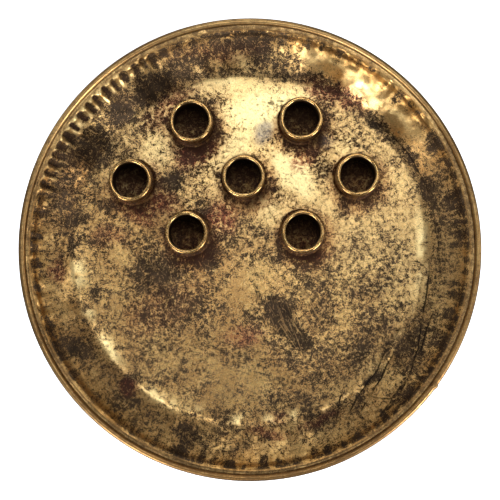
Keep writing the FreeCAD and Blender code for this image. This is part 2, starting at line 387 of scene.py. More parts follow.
def bridge(first, n, second, m):
    """The faces between a ring of n points and the next one, of as many, twice or half.

    first and second are the numbers of the two rings' first points.
    """
    k = np.arange(min(n, m))
    after = (k + 1) % min(n, m)
    if n == m:
        return np.stack([first + k, second + k, second + after, first + after], 1).tolist()
    if m > n:
        a, b = first + k, first + after
        c, d, e = second + 2 * k, second + 2 * k + 1, second + 2 * after
        faces = [(a, c, d), (a, d, b), (b, d, e)]
    else:
        a, b = second + k, second + after
        c, d, e = first + 2 * k, first + 2 * k + 1, first + 2 * after
        faces = [(c, a, d), (d, a, b), (d, b, e)]
    return [face for triple in faces for face in np.stack(triple, 1).tolist()]


def fan(ring, count, pole, pole_first):
    """The faces between a ring and a single point before or after it."""
    k = np.arange(count)
    near, far, tip = ring + k, ring + (k + 1) % count, np.full_like(k, pole)
    corners = (tip, near, far) if pole_first else (near, tip, far)
    return np.stack(corners, 1).tolist()


def ring_mesh(name, points, counts, values, closed):
    """A closed mesh of rings. counts is each ring's number of points; 1 is a pole.

    If closed, the last ring joins the first one. values are the points' attributes.
    """
    starts = np.concatenate([[0], np.cumsum(counts)])
    pairs = list(zip(range(len(counts) - 1), range(1, len(counts))))
    if closed:
        pairs.append((len(counts) - 1, 0))
    faces = []
    for i, j in pairs:
        if counts[i] == 1:
            faces += fan(starts[j], counts[j], starts[i], True)
        elif counts[j] == 1:
            faces += fan(starts[i], counts[i], starts[j], False)
        else:
            faces += bridge(starts[i], counts[i], starts[j], counts[j])
    mesh = bpy.data.meshes.new(name)
    mesh.from_pydata(points.tolist(), [], faces)
    mesh.polygons.foreach_set("use_smooth", [True] * len(mesh.polygons))
    mesh.set_sharp_from_angle(angle=math.radians(55))
    for attribute, numbers in values.items():
        layer = mesh.attributes.new(attribute, "FLOAT", "POINT")
        layer.data.foreach_set("value", np.asarray(numbers, np.float32))
    mesh.update()
    piece = bpy.data.objects.new(name, mesh)
    bpy.context.scene.collection.objects.link(piece)
    return piece


# ---- patina --------------------------------------------------------------------------------

# Places on the dish seen from above, in millimetres: x, y, half length, half width, turn in
# degrees, strength. Dark is bare iron, red is copper-brown, clear is leaf with little wear that is
# also painted paler towards the top as painted highlight, and grey is leaf dulled to grey. The
# scuffs run steeply or nearly level in the plan.
DARK_PLACES = [
    (-81, -89, 8, 5, 40, 0.7), (-84, -101, 10, 6, 30, 0.7), (-43, -124, 10, 6, -20, 0.9),
    (-48, -136, 7, 4, -20, 0.9), (-134, -52, 6, 4, 60, 0.9), (-114, -66, 9, 6, -55, 0.8),
    (-115, 21, 8, 5, 30, 0.9), (-97, 29, 8, 5, -20, 0.9), (-118, 6, 7, 4, 90, 0.6),
    (-52, 47, 6, 7, 0, 1.0), (-28, 30, 10, 7, -30, 0.6), (-30, -5, 12, 9, 20, 0.7),
    (22, -44, 15, 9, -60, 0.95), (33, -60, 9, 7, -50, 0.9), (12, -34, 8, 5, 10, 0.4),
    (-62, -14, 24, 13, 20, 0.45), (-35, -40, 20, 12, -10, 0.3), (62, 27, 7, 7, 0, 0.8),
    (-66, 108, 12, 8, 20, 0.9), (-85, 92, 9, 7, 40, 0.6), (-100, 62, 12, 8, 60, 0.6),
    (-75, 75, 14, 7, 45, 0.2), (7, 134, 6, 11, 0, 0.8), (0, 140, 5, 5, 0, 0.8),
    (88, 82, 14, 5, -45, 0.9), (104, 64, 12, 5, -55, 0.9), (117, 40, 10, 4, -70, 0.7),
    (60, 108, 24, 5, -25, 0.8), (30, 117, 20, 3, -10, 0.6), (-25, 117, 30, 3, 5, 0.5),
    (-104, -30, 9, 5, 70, 0.5), (83, -85, 8, 3, 50, 0.9), (92, -67, 7, 2, 60, 0.7),
    (73, -101, 8, 3, 50, 0.7), (58, -109, 8, 3, 30, 0.5),
]
RED_PLACES = [
    (-37, 64, 14, 7, 30, 0.9), (-57, 31, 9, 8, 0, 0.8), (-20, 20, 10, 9, 0, 0.9),
    (37, 61, 10, 7, 40, 0.7), (-5, -58, 14, 7, 10, 0.6), (40, -2, 10, 8, 0, 0.7),
    (-74, 24, 14, 6, -20, 0.7), (-128, -14, 5, 7, 0, 0.7), (58, 104, 22, 8, -28, 0.8),
    (-55, 95, 20, 9, 40, 0.6), (-80, -92, 5, 4, 0, 0.9), (10, -122, 14, 3, 0, 0.6),
    (45, -114, 14, 3, 22, 0.6), (20, -112, 6, 4, 0, 0.5), (-40, -2, 9, 5, 0, 0.6),
    (-95, 10, 12, 7, 0, 0.4), (-20, 132, 30, 6, 5, 0.4), (-60, -40, 30, 12, 30, 0.25),
]
CLEAR_PLACES = [
    (10, 96, 34, 14, 10, 1.0), (-10, 70, 24, 12, 60, 0.7), (30, 50, 22, 11, -45, 1.0),
    (-20, 126, 7, 5, 0, 0.8), (-7, 126, 7, 5, 0, 0.8), (-34, 120, 5, 4, 0, 0.7),
    (47, 127, 16, 8, -25, 0.95), (74, 108, 17, 8, -40, 0.9), (100, 84, 13, 7, -50, 0.8),
    (92, -86, 8, 12, -40, 0.6), (20, -134, 30, 7, 0, 0.2), (10, -20, 26, 12, 20, 0.4),
    (104, -14, 10, 32, 0, 0.2), (60, -60, 26, 14, 40, 0.4), (0, -92, 40, 16, 0, 0.3),
    (-82, 50, 16, 12, 60, 0.5), (-62, 66, 14, 13, 40, 0.6), (-18, 42, 12, 12, 0, 0.4),
    (-121, -16, 3, 18, 0, 0.5), (-70, -96, 14, 5, -38, 0.5), (118, 3, 5, 14, 0, 0.6),
    (-90, -5, 12, 8, 0, 0.4), (10, 28, 17, 9, -50, 0.9), (52, 20, 10, 20, 0, 0.5),
    (64, 68, 12, 16, 0, 0.4), (-10, 110, 40, 8, 0, 0.5),
]
GREY_PLACES = [(9, 79, 8, 5, 75, 0.85), (50, 74, 6, 4, 0, 0.3), (7, 53, 4, 3, 30, 0.4)]
STEEP_SCUFFS = [
    (23, -49, 24, 9, -62, 1.0), (6, -24, 12, 6, -70, 0.8), (42, -38, 14, 6, -60, 0.6),
    (70, -30, 16, 7, -70, 0.5), (100, -66, 12, 5, -62, 0.7), (-10, 30, 12, 5, -60, 0.4),
    (24, 16, 9, 4, -60, 0.6),
]
SHALLOW_SCUFFS = [
    (-8, -74, 32, 8, -12, 0.9), (-45, -62, 24, 7, 6, 0.5), (30, -88, 22, 6, -10, 0.5),
    (58, -66, 16, 6, -20, 0.4), (-70, -30, 16, 7, -30, 0.4), (20, 96, 14, 4, -10, 0.4),
]


def places(x, y, spots, seed):
    """How much of the listed places is at each point, with ragged outlines."""
    x = x + 3.5 * MM * patchy(x, y, 14, seed)
    y = y + 3.5 * MM * patchy(x, y, 14, seed + 7)
    total = np.zeros_like(x)
    for px, py, long_half, wide_half, turn, strength in spots:
        c, s = math.cos(math.radians(turn)), math.sin(math.radians(turn))
        dx, dy = x - px * MM, y - py * MM
        u = (dx * c + dy * s) / (long_half * MM)
        v = (dy * c - dx * s) / (wide_half * MM)
        total = np.maximum(total, strength * (1 - smooth(np.hypot(u, v) - 0.45)))
    return total


# Where the wall is worn more or less than the floor: angle, half width, how much.
WALL_WEAR = [(-15, 45, 0.12), (98, 22, 0.14), (-120, 25, 0.04), (56, 22, -0.12)]

# Dark runs that hang from the rim: middle angle, half the run, degrees between them, strength.
DRIP_RUNS = [
    (-12, 34, 2.6, 1.0), (-78, 32, 3.6, 0.8), (-138, 26, 5.0, 0.5), (-178, 13, 3.8, 0.8),
    (36, 13, 5.0, 0.8), (84, 34, 5.2, 0.75),
]


def make_drips():
    """Each run's angle, half width, reach and strength, in order round the dish."""
    rng = np.random.RandomState(77)
    runs = []
    for centre, half, apart, strength in DRIP_RUNS:
        angle = centre - half + apart * rng.uniform(0, 0.5)
        while angle < centre + half:
            width, reach = rng.uniform(0.6, 1.7), rng.uniform(3, 13) * MM
            runs.append((angle % 360, width, reach, strength * rng.uniform(0.35, 1.0)))
            angle += apart * rng.uniform(0.5, 1.8)
    return np.array(sorted(runs))


DRIPS = make_drips()


def drips(station, theta):
    """Dark runs and blots that hang from the rim."""
    total = np.zeros_like(theta)
    place = np.searchsorted(DRIPS[:, 0], theta % 360)
    for neighbour in (-1, 0):
        angle, width, reach, strength = DRIPS[(place + neighbour) % len(DRIPS)].T
        down = (145.2 * MM - station) / reach
        across = turn_gap(theta, angle) / width
        across = across + 0.5 * noise(theta / 360 * 240, station / (3 * MM), 125, 240)
        shape = np.hypot(across, np.maximum(down - 0.55, 0) / 0.45)
        total = np.maximum(total, strength * (1 - smooth((shape - 0.55) / 0.7)) * (down > 0))
    return total


def fluted_share(station, theta):
    """1 on the strongly fluted ledge at the upper left."""
    below_ledge = 1 - rise(station, 144.8, 1.4)
    return near_angle(theta, FLUTED, 24) * rise(station, 135, 4) * below_ledge


def painted_crest_highlight(station, theta, x, y):
    """Painted highlight along the floor's gentle turn-ups, where the key light's reflection falls:
    cleaner leaf in ragged patches.
    """
    total = np.zeros_like(theta)
    for angle, half, height in CROWNS:
        total = np.maximum(total, min(height / 1.3, 1) * near_angle(theta, angle, half))
    ragged = smooth((patchy(x, y, 11, 131) + 0.38) / 0.45)
    return ragged * total * bell(station, 115 * MM, 6 * MM)


def foot_stains_and_shadows(x, y):
    """Painted shade in the tube bores, darker towards +Y as painted shadow, with a little dirt; round
    each foot, reddish grime and a dark stain, with a painted shadow leaning -Y.
    """
    inside, foot_stain_and_shadow, stain_and_shade = np.zeros_like(x), np.zeros_like(x), np.zeros_like(x)
    for tx, ty in TUBES.values():
        away = np.hypot(x - tx, y - ty)
        # Painted shade down each bore, darker on its +Y side as the painted shadow of the tube's wall,
        # with a little patchy dirt.
        bore_shadow_and_dirt = 0.56 + 0.42 * rise(y - ty, -5, 8) + 0.1 * patchy(x, y, 5, 123)
        inside = np.maximum(inside, (away < TUBE_INNER + 1 * MM) * bore_shadow_and_dirt)
        # Reddish grime round each foot, centred 2 mm towards +X and 5 mm towards -Y where the tube's
        # shadow falls, so partly painted shadow.
        low = np.hypot(x - tx - 2 * MM, y - ty + 5 * MM)
        foot_stain_and_shadow = np.maximum(foot_stain_and_shadow, 1 - rise(low, 13, 12))
        stain_and_shade = np.maximum(stain_and_shade, 0.9 * (1 - rise(away, 14.2, 2.2)))
        # A ragged dark patch leaning the same way: a stain with painted shadow in it.
        ragged = low + 4 * MM * patchy(x, y, 8, 107)
        stain_and_shade = np.maximum(stain_and_shade, 0.95 * (1 - rise(ragged, 10, 7)))
    return inside, foot_stain_and_shadow, stain_and_shade


def broad_tarnish(x, y, station, theta, wall):
    """How far the leaf is worn off, apart from single marks."""
    tarnish = 0.50 + 0.20 * patchy(x, y, 34, 101) + 0.07 * patchy(x, y, 9, 109)
    tarnish += 0.08 * bell(station, 124 * MM, 6 * MM) - 0.05 * wall
    for angle, half, more in WALL_WEAR:
        tarnish += more * wall * near_angle(theta, angle, half)
    tarnish += 0.26 * near_angle(theta, 143, 27) * bell(station, 130 * MM, 9 * MM)
    return tarnish + 0.07 * (1 - wall) * rise(-y, -15, 60) * rise(-x, -100, 60)


def paleness_and_painted_highlight(clear, x, y, highlight_paleness, wall, red):
    """Where the leaf is palest: clear places towards the top or on the flute ridges and turn-ups, and
    faintly the upper right. Apart from clean leaf, this is painted highlight.
    """
    # Painted highlight over the upper right, where the key light's reflection falls.
    upper_right_highlight = rise(y + 0.5 * x, -25, 70) * (1 - 0.5 * wall) * (1 - 0.6 * red)
    return np.maximum(clear * np.maximum(highlight_paleness, rise(y, -5, 50)), 0.3 * upper_right_highlight)


def pan_values(station, theta, lower, rolled):
    """The dish's attributes at each point, by name. lower and rolled tell its skins apart."""
    x, y = plan(station, theta)
    edge = rolled > 0
    wall = rise(station, 118, 6)
    red, clear = places(x, y, RED_PLACES, 95), places(x, y, CLEAR_PLACES, 99)
    inside, foot_stain_and_shadow, stain_and_shade = foot_stains_and_shadows(x, y)
    crest_highlight = painted_crest_highlight(station, theta, x, y)
    fluted = fluted_share(station, theta)
    groove, _ = flute_cut(station, theta)

    tarnish = broad_tarnish(x, y, station, theta, wall) + 0.33 * places(x, y, DARK_PLACES, 91)
    # More wear round each foot, leaning -Y with its painted shadow, and less along the turn-ups as
    # painted highlight.
    tarnish += 0.2 * foot_stain_and_shadow + 0.10 * red - 0.30 * clear - 0.28 * crest_highlight
    tarnish += 0.55 * drips(station, theta) * (1 - fluted)
    # In the deep flutes the grooves get more wear as painted shade and the ridges less as painted
    # highlight.
    tarnish += fluted * (0.5 * groove - 0.45 * (1 - groove))
    # Inside the tubes the floor is darkened as painted shade.
    tarnish = np.where(inside > 0, 0.62, tarnish)
    tarnish = np.where(lower, 0.62 + 0.2 * patchy(x, y, 40, 103), tarnish)
    bottom, top = 0.55 * near_angle(theta, -85, 45), 0.30 * near_angle(theta, 95, 60)
    bead = 0.38 + 0.16 * around(theta, 50, 105) + 0.5 * bottom - 0.5 * top
    tarnish = np.where(edge, bead, tarnish)

    blots = smooth((patchy(x, y, 7, 141) - 0.02) / 0.3)
    blots *= near_angle(theta, 142, 27) * bell(station, 135 * MM, 7 * MM)
    # Painted shade in the flute grooves, with the dark blots.
    stain_and_shade = np.maximum(stain_and_shade, np.maximum(0.85 * fluted * groove, 0.60 * blots))
    # Painted shade and shadow on the floor inside the tubes.
    stain_and_shade = np.where(inside > 0, inside, stain_and_shade)

    # Painted highlight: cleaner, paler leaf along the turn-ups.
    clear = np.maximum(clear * (1 - 0.55 * wall * (1 - fluted)), 0.55 * crest_highlight)
    # Painted highlight: cleaner, paler leaf on the flute ridges.
    clear = np.maximum(clear, 0.75 * fluted * (1 - groove))
    # The flutes and turn-ups that are painted paler as highlight.
    highlight_paleness = np.maximum(fluted, 2 * crest_highlight)

    under_rim = rise(station, 131, 12) * (station < 146.2 * MM)
    # Amber lacquer under the rim, and an amber tint round each foot that leans -Y with its painted
    # shadow.
    amber = 0.95 * under_rim * (0.7 + 0.3 * around(theta, 70, 87)) + 0.5 * foot_stain_and_shadow
    amber *= 1 - 0.75 * near_angle(theta, FLUTED, 26)
    edge_amber = 0.20 + 0.20 * around(theta, 33, 117) + bottom - top

    long_crack, short_crack = crack_offset(x, y, LONG_CRACKS), crack_offset(x, y, SHORT_CRACKS)
    to_crack = np.minimum(np.abs(long_crack), np.abs(short_crack))
    values = {
        "tarnish": tarnish,
        "amber": np.where(edge, edge_amber, amber),
        # Copper-brown patches, and reddish grime round each foot that leans -Y with its painted shadow.
        "red": np.where(edge, 0, red + 0.5 * foot_stain_and_shadow),
        "wall": np.where(edge, 0, wall),
        # A thin line of painted shade in the crimp inside the rolled edge.
        "painted_shade": np.where(edge, 0, bell(station, 148.6 * MM, 0.55 * MM)),
        "smoothness": np.where(edge, 1.0, 0.7 * (station > 144.8 * MM) * ~lower),
    }
    upper_only = {
        # The leaf's paleness: clean leaf, with painted highlight towards the top and upper right.
        "clear": paleness_and_painted_highlight(clear, x, y, highlight_paleness, wall, red),
        "stain_and_shade": stain_and_shade,
        "grey": places(x, y, GREY_PLACES, 113),
        "steep_scuffs": places(x, y, STEEP_SCUFFS, 119),
        "shallow_scuffs": places(x, y, SHALLOW_SCUFFS, 121),
        "cracked": 1 - rise(to_crack, 3, 2),
    }
    values.update({name: np.where(lower | edge, 0, share) for name, share in upper_only.items()})
    values = {name: np.clip(share, 0, 1) for name, share in values.items()}
    return values | {"long_crack": long_crack, "short_crack": short_crack}


# ---- the dish ------------------------------------------------------------------------------

FINE, COARSE = 768, 384  # points round a ring on the shown upper side and elsewhere
UPPER_STEPS, LOWER_STEPS = (7, 17, 7, 6, 13, 8), (4, 9, 4, 3, 4, 18)  # section()'s steps
NICK = -36.4  # the angle of the small nick that stands out from the rolled edge


def master_angles():
    """The fine ring's angles, set closer where the wall is fluted or cracked."""
    theta = np.arange(3600) / 10
    density = 1 + 0.9 * near_angle(theta, FLUTED, 26) + 1.1 * near_angle(theta, -42, 17)
    total = np.concatenate([[0], np.cumsum(density)])
    return np.interp(np.arange(FINE) / FINE * total[-1], total, np.arange(3601) / 10)


def ring_count(radius, most):
    """Points on a floor ring: half as many each time the radius about halves."""
    return most // 2 ** sum(radius < limit * MM for limit in (100, 48, 24, 12))


def dish_rings():
    """The plain dish as rings from the middle of its upper side to the middle of its lower one.

    Each is its section point, the upper skin's radius there, its number of points, how far
    round the rolled edge it is, and whether it is on the lower skin.
    """
    upper, upper_roll = section(0, UPPER_STEPS)
    lower, lower_roll = section(THICK, LOWER_STEPS)
    opposite = [min(point.real, BEAD.real) for point in section(0, LOWER_STEPS)[0]]
    upper_floor = [np.arange(2, 48, 1.9), np.arange(48, 100, 1.9), np.arange(100, 115.5, 1.6)]
    lower_floor = np.arange(112, 3, -4.0)
    rings = [(complex(0, FLOOR), 0.0, 1, 0.0, False)]
    for radius in np.concatenate(upper_floor) * MM:
        rings.append((complex(radius, FLOOR), radius, ring_count(radius, FINE), 0.0, False))
    for point, rolled in zip(upper, upper_roll):
        count = COARSE if rolled > 0 else FINE
        rings.append((point, min(point.real, BEAD.real), count, rolled, False))
    for point, rolled, station in reversed(list(zip(lower, lower_roll, opposite))):
        count = FINE if rolled > 0 else COARSE
        rings.append((point, BEAD.real if rolled > 0 else station, count, rolled, True))
    for radius in lower_floor * MM:
        point = complex(radius, FLOOR - THICK)
        rings.append((point, radius, ring_count(radius, COARSE), 0.0, True))
    rings.append((complex(0, FLOOR - THICK), 0.0, 1, 0.0, True))
    return rings


def make_dish():
    """The dish, with its hand-worked shape and its marks."""
    rings = dish_rings()
    angles = master_angles()
    counts = [ring[2] for ring in rings]
    theta = np.concatenate([angles[:: FINE // n][:n] if n > 1 else [0.0] for n in counts])
    base, station, _, rolled, lower = (np.repeat(column, counts) for column in zip(*rings))
    shift, lift = hand_work(station, theta, base)
    pan = rolled == 0
    turned = (7 * around(theta, 45, 111) - 6) * rolled
    base = np.where(pan, base, BEAD + (base - BEAD) * np.exp(1j * np.radians(turned)))
    nick = 0.9 * MM * near_angle(theta, NICK, 0.5) * (rolled > 0.25)
    points = round_points(base.real + shift * pan + nick, theta, base.imag + lift * pan)
    values = pan_values(station, theta, lower, rolled)
    piece = ring_mesh("dish", points, counts, values, closed=False)
    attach(piece, "root")
    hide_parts("dish_pan")
    return piece


# ---- tubes and braze -----------------------------------------------------------------------

TUBE_POINTS = 128
TUBE_ANGLES = np.arange(TUBE_POINTS) * 360 / TUBE_POINTS
TUBE_LIP = 0.95 * MM
BRAZE_STEPS = 9
# The braze's marks; part of its darkening is painted shade in the corner round the tube.
BRAZE_VALUES = {"tarnish": 0.62, "red": 0.8, "amber": 0.6, "painted_shade": 0.15, "stain_and_shade": 0.55}


def tube_section():
    """Up a tube's outside, over its rounded lip and down its bore, as r + z*1j."""
    shoulder = tube_high.z - TUBE_LIP
    middle_of_wall = complex((TUBE_OUTER + TUBE_INNER) / 2, shoulder)
    half_wall = (TUBE_OUTER - TUBE_INNER) / 2
    points = [complex(TUBE_OUTER, FLOOR)]
    points += line(complex(TUBE_OUTER, FLOOR), complex(TUBE_OUTER, shoulder), 12)
    for angle in (math.pi * k / 16 for k in range(1, 17)):
        points.append(middle_of_wall + complex(half_wall * math.cos(angle), TUBE_LIP * math.sin(angle)))
    return points + line(complex(TUBE_INNER, shoulder), complex(TUBE_INNER, FLOOR), 10)


def make_tube(number):
    """An open tube whose lip was rounded by hand."""
    wave = np.random.RandomState(200 + number).randint(1000)
    rings = tube_section()
    plain, theta = np.repeat(rings, TUBE_POINTS), np.tile(TUBE_ANGLES, len(rings))
    up = (plain.imag - FLOOR) / (tube_high.z - FLOOR)
    uneven = 0.06 * around(theta, 7, wave) + 0.03 * around(theta, 23, wave + 1)
    uneven += 0.05 * noise(theta / 360 * 12, up * 5, wave + 2, 12)
    radius = plain.real + uneven * MM * smooth(up * 4)
    height = plain.imag - (up > 0.95) * np.abs(0.12 * MM * around(theta, 9, wave + 3))
    points = round_points(radius, theta, height, TUBES[number])

    inside = (plain.real < TUBE_INNER + 0.3 * MM) & (up < 0.95)
    on_lip = up > 0.955
    foot = smooth((0.35 - up) / 0.35)
    # Inside the bore the wall is darkened as painted shade; the outer wall grows darker and redder
    # towards its foot.
    values = {
        "tarnish": np.select([on_lip, inside], [0.18, 0.85], 0.28 + 0.45 * foot),
        "red": np.where(inside, 0.3, 0.35 * foot),
        "amber": np.select([on_lip, inside], [0.22, 0.6], 0.8),
        "painted_shade": np.where(inside, 0.35, 0.0),
        "smoothness": np.where(on_lip, 1.0, 0.4),
        "stain_and_shade": np.where(inside, 0.7, 0.0) + np.where(on_lip, 0.0, 0.5 * foot),
    }
    piece = ring_mesh(f"tube_{number}", points, [TUBE_POINTS] * len(rings), values, closed=True)
    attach(piece, "root")
    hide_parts(f"stem_tube_{number}")
    return piece


def make_braze(number):
    """The uneven run of braze round a tube's foot."""
    seed = 300 + 10 * number
    theta = TUBE_ANGLES
    leg = BRAZE_LEG * (0.92 + 0.16 * around(theta, 9, seed) + 0.1 * around(theta, 31, seed + 1))
    height = BRAZE_LEG * (0.95 + 0.35 * around(theta, 7, seed + 2) + 0.12 * around(theta, 29, seed + 3))
    rings = []
    for share in (k / BRAZE_STEPS for k in range(BRAZE_STEPS + 1)):
        ripple = 0.07 * MM * math.sin(math.pi * share) * around(theta, 47, seed + 4)
        out, up = leg * (1 - share) ** 1.6, height * share**1.6
        rings.append((TUBE_OUTER + out + ripple, FLOOR + up + ripple))
    inner = np.full_like(theta, TUBE_OUTER - 0.1 * MM)
    rings += [(inner, FLOOR + height), (inner, np.full_like(theta, FLOOR))]
    points = [round_points(radius, theta, z, TUBES[number]) for radius, z in rings]
    counts = [TUBE_POINTS] * len(rings)
    values = {name: np.full(sum(counts), share) for name, share in BRAZE_VALUES.items()}
    piece = ring_mesh(f"braze_{number}", np.concatenate(points), counts, values, closed=True)
    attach(piece, "root")
    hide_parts(f"braze_fillet_{number}")
    return piece


# ---- materials -----------------------------------------------------------------------------


class Tree:
    """The node tree of a material or world, with a short method for each kind of node in use."""

    def __init__(self, owner):
        owner.use_nodes = True
        self.owner = owner
        self.tree = owner.node_tree
        self.shader = next(n for n in self.tree.nodes if n.type in ("BSDF_PRINCIPLED", "BACKGROUND"))

    def put(self, value, socket):
        """Links a socket to another node's output, or sets it to a number or colour."""
        if isinstance(value, bpy.types.NodeSocket):
            self.tree.links.new(value, socket)
        elif isinstance(value, tuple) and len(value) == 3 and socket.type == "RGBA":
            socket.default_value = (*value, 1.0)
        else:
            socket.default_value = value

    def add(self, kind, inputs, **settings):
        node = self.tree.nodes.new(kind)
        for name, value in settings.items():
            setattr(node, name, value)
        for key, value in inputs.items():
            self.put(value, node.inputs[key])
        return node

    def coordinate(self, kind="Object"):
        return self.add("ShaderNodeTexCoord", {}).outputs[kind]

    def attribute(self, name):
        """A mesh's attribute, or 0 on a mesh that doesn't have it."""
        return self.add("ShaderNodeAttribute", {}, attribute_name=name).outputs["Fac"]

    def noise(self, vector, scale, detail=2.0, roughness=0.5, distortion=0.0, output="Fac"):
        settings = {"Scale": scale, "Detail": detail, "Roughness": roughness, "Distortion": distortion}
        return self.add("ShaderNodeTexNoise", {"Vector": vector, **settings}).outputs[output]

    def math(self, operation, a, b=0.0):
        return self.add("ShaderNodeMath", {0: a, 1: b}, operation=operation).outputs[0]

    def times(self, a, b):
        return self.math("MULTIPLY", a, b)

    def vector(self, operation, a, b=(0.0, 0.0, 0.0), output="Vector"):
        return self.add("ShaderNodeVectorMath", {0: a, 1: b}, operation=operation).outputs[output]

    def ramp(self, value, low, high, start=0.0, end=1.0):
        """start below low, end above high, and smooth between."""
        inputs = {"Value": value, 1: low, 2: high, 3: start, 4: end}
        return self.add("ShaderNodeMapRange", inputs, interpolation_type="SMOOTHSTEP").outputs[0]

    def weigh(self, *pairs):
        """The sum of values times weights."""
        total = None
        for value, weight in pairs:
            part = self.times(value, weight)
            total = part if total is None else self.math("ADD", total, part)
        return total

    def mix(self, share, a, b):
        return self.add("ShaderNodeMix", {0: share, 6: a, 7: b}, data_type="RGBA").outputs[2]

    def blend(self, share, a, b):
        return self.add("ShaderNodeMix", {0: share, 2: a, 3: b}, data_type="FLOAT").outputs[0]

    def finish(self, color, metallic, roughness, bump):
        """Sets the shader and returns the material. bump is height, distance and strength."""
        height, distance, strength = bump
        self.put(color, self.shader.inputs["Base Color"])
        self.put(metallic, self.shader.inputs["Metallic"])
        self.put(roughness, self.shader.inputs["Roughness"])
        node = self.add("ShaderNodeBump", {"Height": height, "Distance": distance, "Strength": strength})
        self.put(node.outputs[0], self.shader.inputs["Normal"])
        return self.owner


GOLD_PALE = (0.93, 0.76, 0.37)
GOLD = (0.78, 0.505, 0.187)
GOLD_DEEP = (0.52, 0.295, 0.100)
COPPER = (0.38, 0.115, 0.062)
LACQUER = (0.42, 0.205, 0.045)
HAZE = (0.25, 0.145, 0.065)
IRON = (0.043, 0.030, 0.021)
IRON_BLACK = (0.020, 0.015, 0.012)
DARK_STAIN_AND_SHADE = (0.034, 0.015, 0.007)
GREY = (0.21, 0.20, 0.19)
RUSTY = (0.060, 0.022, 0.016)
SHADE = (0.030, 0.021, 0.015)
CRACK = (0.016, 0.011, 0.008)
WIRE_GREY, WIRE_RUST = (0.24, 0.22, 0.20), (0.20, 0.10, 0.05)
RUBBER, DUST = (0.028, 0.026, 0.024), (0.11, 0.10, 0.085)

# The mesh attributes that gilded() reads, apart from the cracks'.
MARKS = (
    "tarnish", "red", "amber", "painted_shade", "wall", "smoothness", "clear", "stain_and_shade", "grey",
    "steep_scuffs", "shallow_scuffs",
)
SCUFFS = (("steep_scuffs", -63, 620, 16.0), ("shallow_scuffs", -14, 700, 14.0))


def hairs(t, spot, angles, size, stretch=5.0):
    """Fine hair-like scuffs in the given directions, near 1 along the middle of each."""
    level = None
    for step, angle in enumerate(angles):
        turned = {"Rotation": (0.0, 0.0, math.radians(angle)), "Scale": (stretch, 1.0, 1.0)}
        mapped = t.add("ShaderNodeMapping", {"Vector": spot, **turned}, vector_type="TEXTURE").outputs[0]
        here = t.noise(mapped, size + 90 * step, 2, 0.6, 0.5)
        level = here if level is None else t.math("MAXIMUM", level, here)
    return level


def wall_streaks(t, spot):
    """Streaks that run up and down the wall."""
    flat = t.vector("MULTIPLY", spot, (1.0, 1.0, 0.0))
    reach = t.vector("LENGTH", flat, output="Value")
    ring = t.vector("MULTIPLY", t.vector("NORMALIZE", flat), (0.14, 0.14, 0.14))
    lengthwise = t.add("ShaderNodeCombineXYZ", {"Z": t.times(reach, 0.22)}).outputs[0]
    return t.noise(t.vector("ADD", ring, lengthwise), 520, 4, 0.65)


def grains(t, spot):
    """The noises that the leaf's wear, colour and bump are made from, by name."""
    swirl = t.vector("SUBTRACT", t.noise(spot, 160, 2, 0.5, output="Color"), (0.5, 0.5, 0.5))
    warped = t.vector("ADD", spot, t.vector("MULTIPLY", swirl, (0.004, 0.004, 0.004)))
    return {
        "fine": t.noise(warped, 1350, 4, 0.75, 0.5),
        "medium": t.noise(warped, 330, 4, 0.66, 0.4),
        "broad": t.noise(spot, 75, 3, 0.6),
        "hue": t.noise(spot, 42, 4, 0.62),
        "tone": t.noise(warped, 1500, 3, 0.7),
        "streak": wall_streaks(t, spot),
        "dark_hair": hairs(t, warped, (12, 58, 101, 149), 900),
        "light_hair": hairs(t, warped, (33, 82, 127), 900),
    }


def worn_share(t, spot, grain, marks):
    """Where the leaf is gone: small flecks, hairs and scuffs, with some gold hairs left across."""
    fine, medium = grain["fine"], grain["medium"]
    tarnish = marks["tarnish"]
    on_floor = t.weigh((fine, 0.50), (medium, 0.34), (grain["broad"], 0.16))
    on_wall = t.weigh((fine, 0.44), (medium, 0.33), (grain["streak"], 0.23))
    level = t.blend(marks["wall"], on_floor, on_wall)
    edge = t.math("SUBTRACT", 0.625, t.times(tarnish, 0.23))
    worn = t.ramp(t.math("SUBTRACT", level, edge), -0.010, 0.016)
    hair_edge = t.math("SUBTRACT", 0.742, t.times(tarnish, 0.19))
    hair_level = t.weigh((grain["dark_hair"], 0.85), (medium, 0.15))
    worn = t.math("MAXIMUM", worn, t.ramp(t.math("SUBTRACT", hair_level, hair_edge), -0.025, 0.02))

    for mark, angle, size, stretch in SCUFFS:
        scuff = t.ramp(hairs(t, spot, (angle,), size, stretch), 0.50, 0.58)
        scuff = t.times(t.times(scuff, t.ramp(medium, 0.40, 0.54)), t.ramp(marks[mark], 0.15, 0.6))
        worn = t.math("MAXIMUM", worn, scuff)
    bright = t.ramp(hairs(t, spot, (-57, -70), 560, 20.0), 0.60, 0.66, 0.0, 0.7)
    bright = t.times(bright, t.ramp(marks["steep_scuffs"], 0.1, 0.6))
    worn = t.times(worn, t.math("SUBTRACT", 1.0, bright))
    worn = t.times(worn, t.ramp(grain["light_hair"], 0.63, 0.69, 0.94, 0.25))
    return t.times(worn, t.ramp(marks["smoothness"], 0.0, 1.0, 1.0, 0.35))


def leaf_haze(t, grain, tarnish):
    """The brown haze in the leaf, thicker where it is tarnished."""
    level = t.weigh((grain["medium"], 0.30), (grain["tone"], 0.35), (grain["dark_hair"], 0.35))
    return t.ramp(t.math("ADD", level, t.times(tarnish, 0.14)), 0.558, 0.650, 0.0, 0.82)


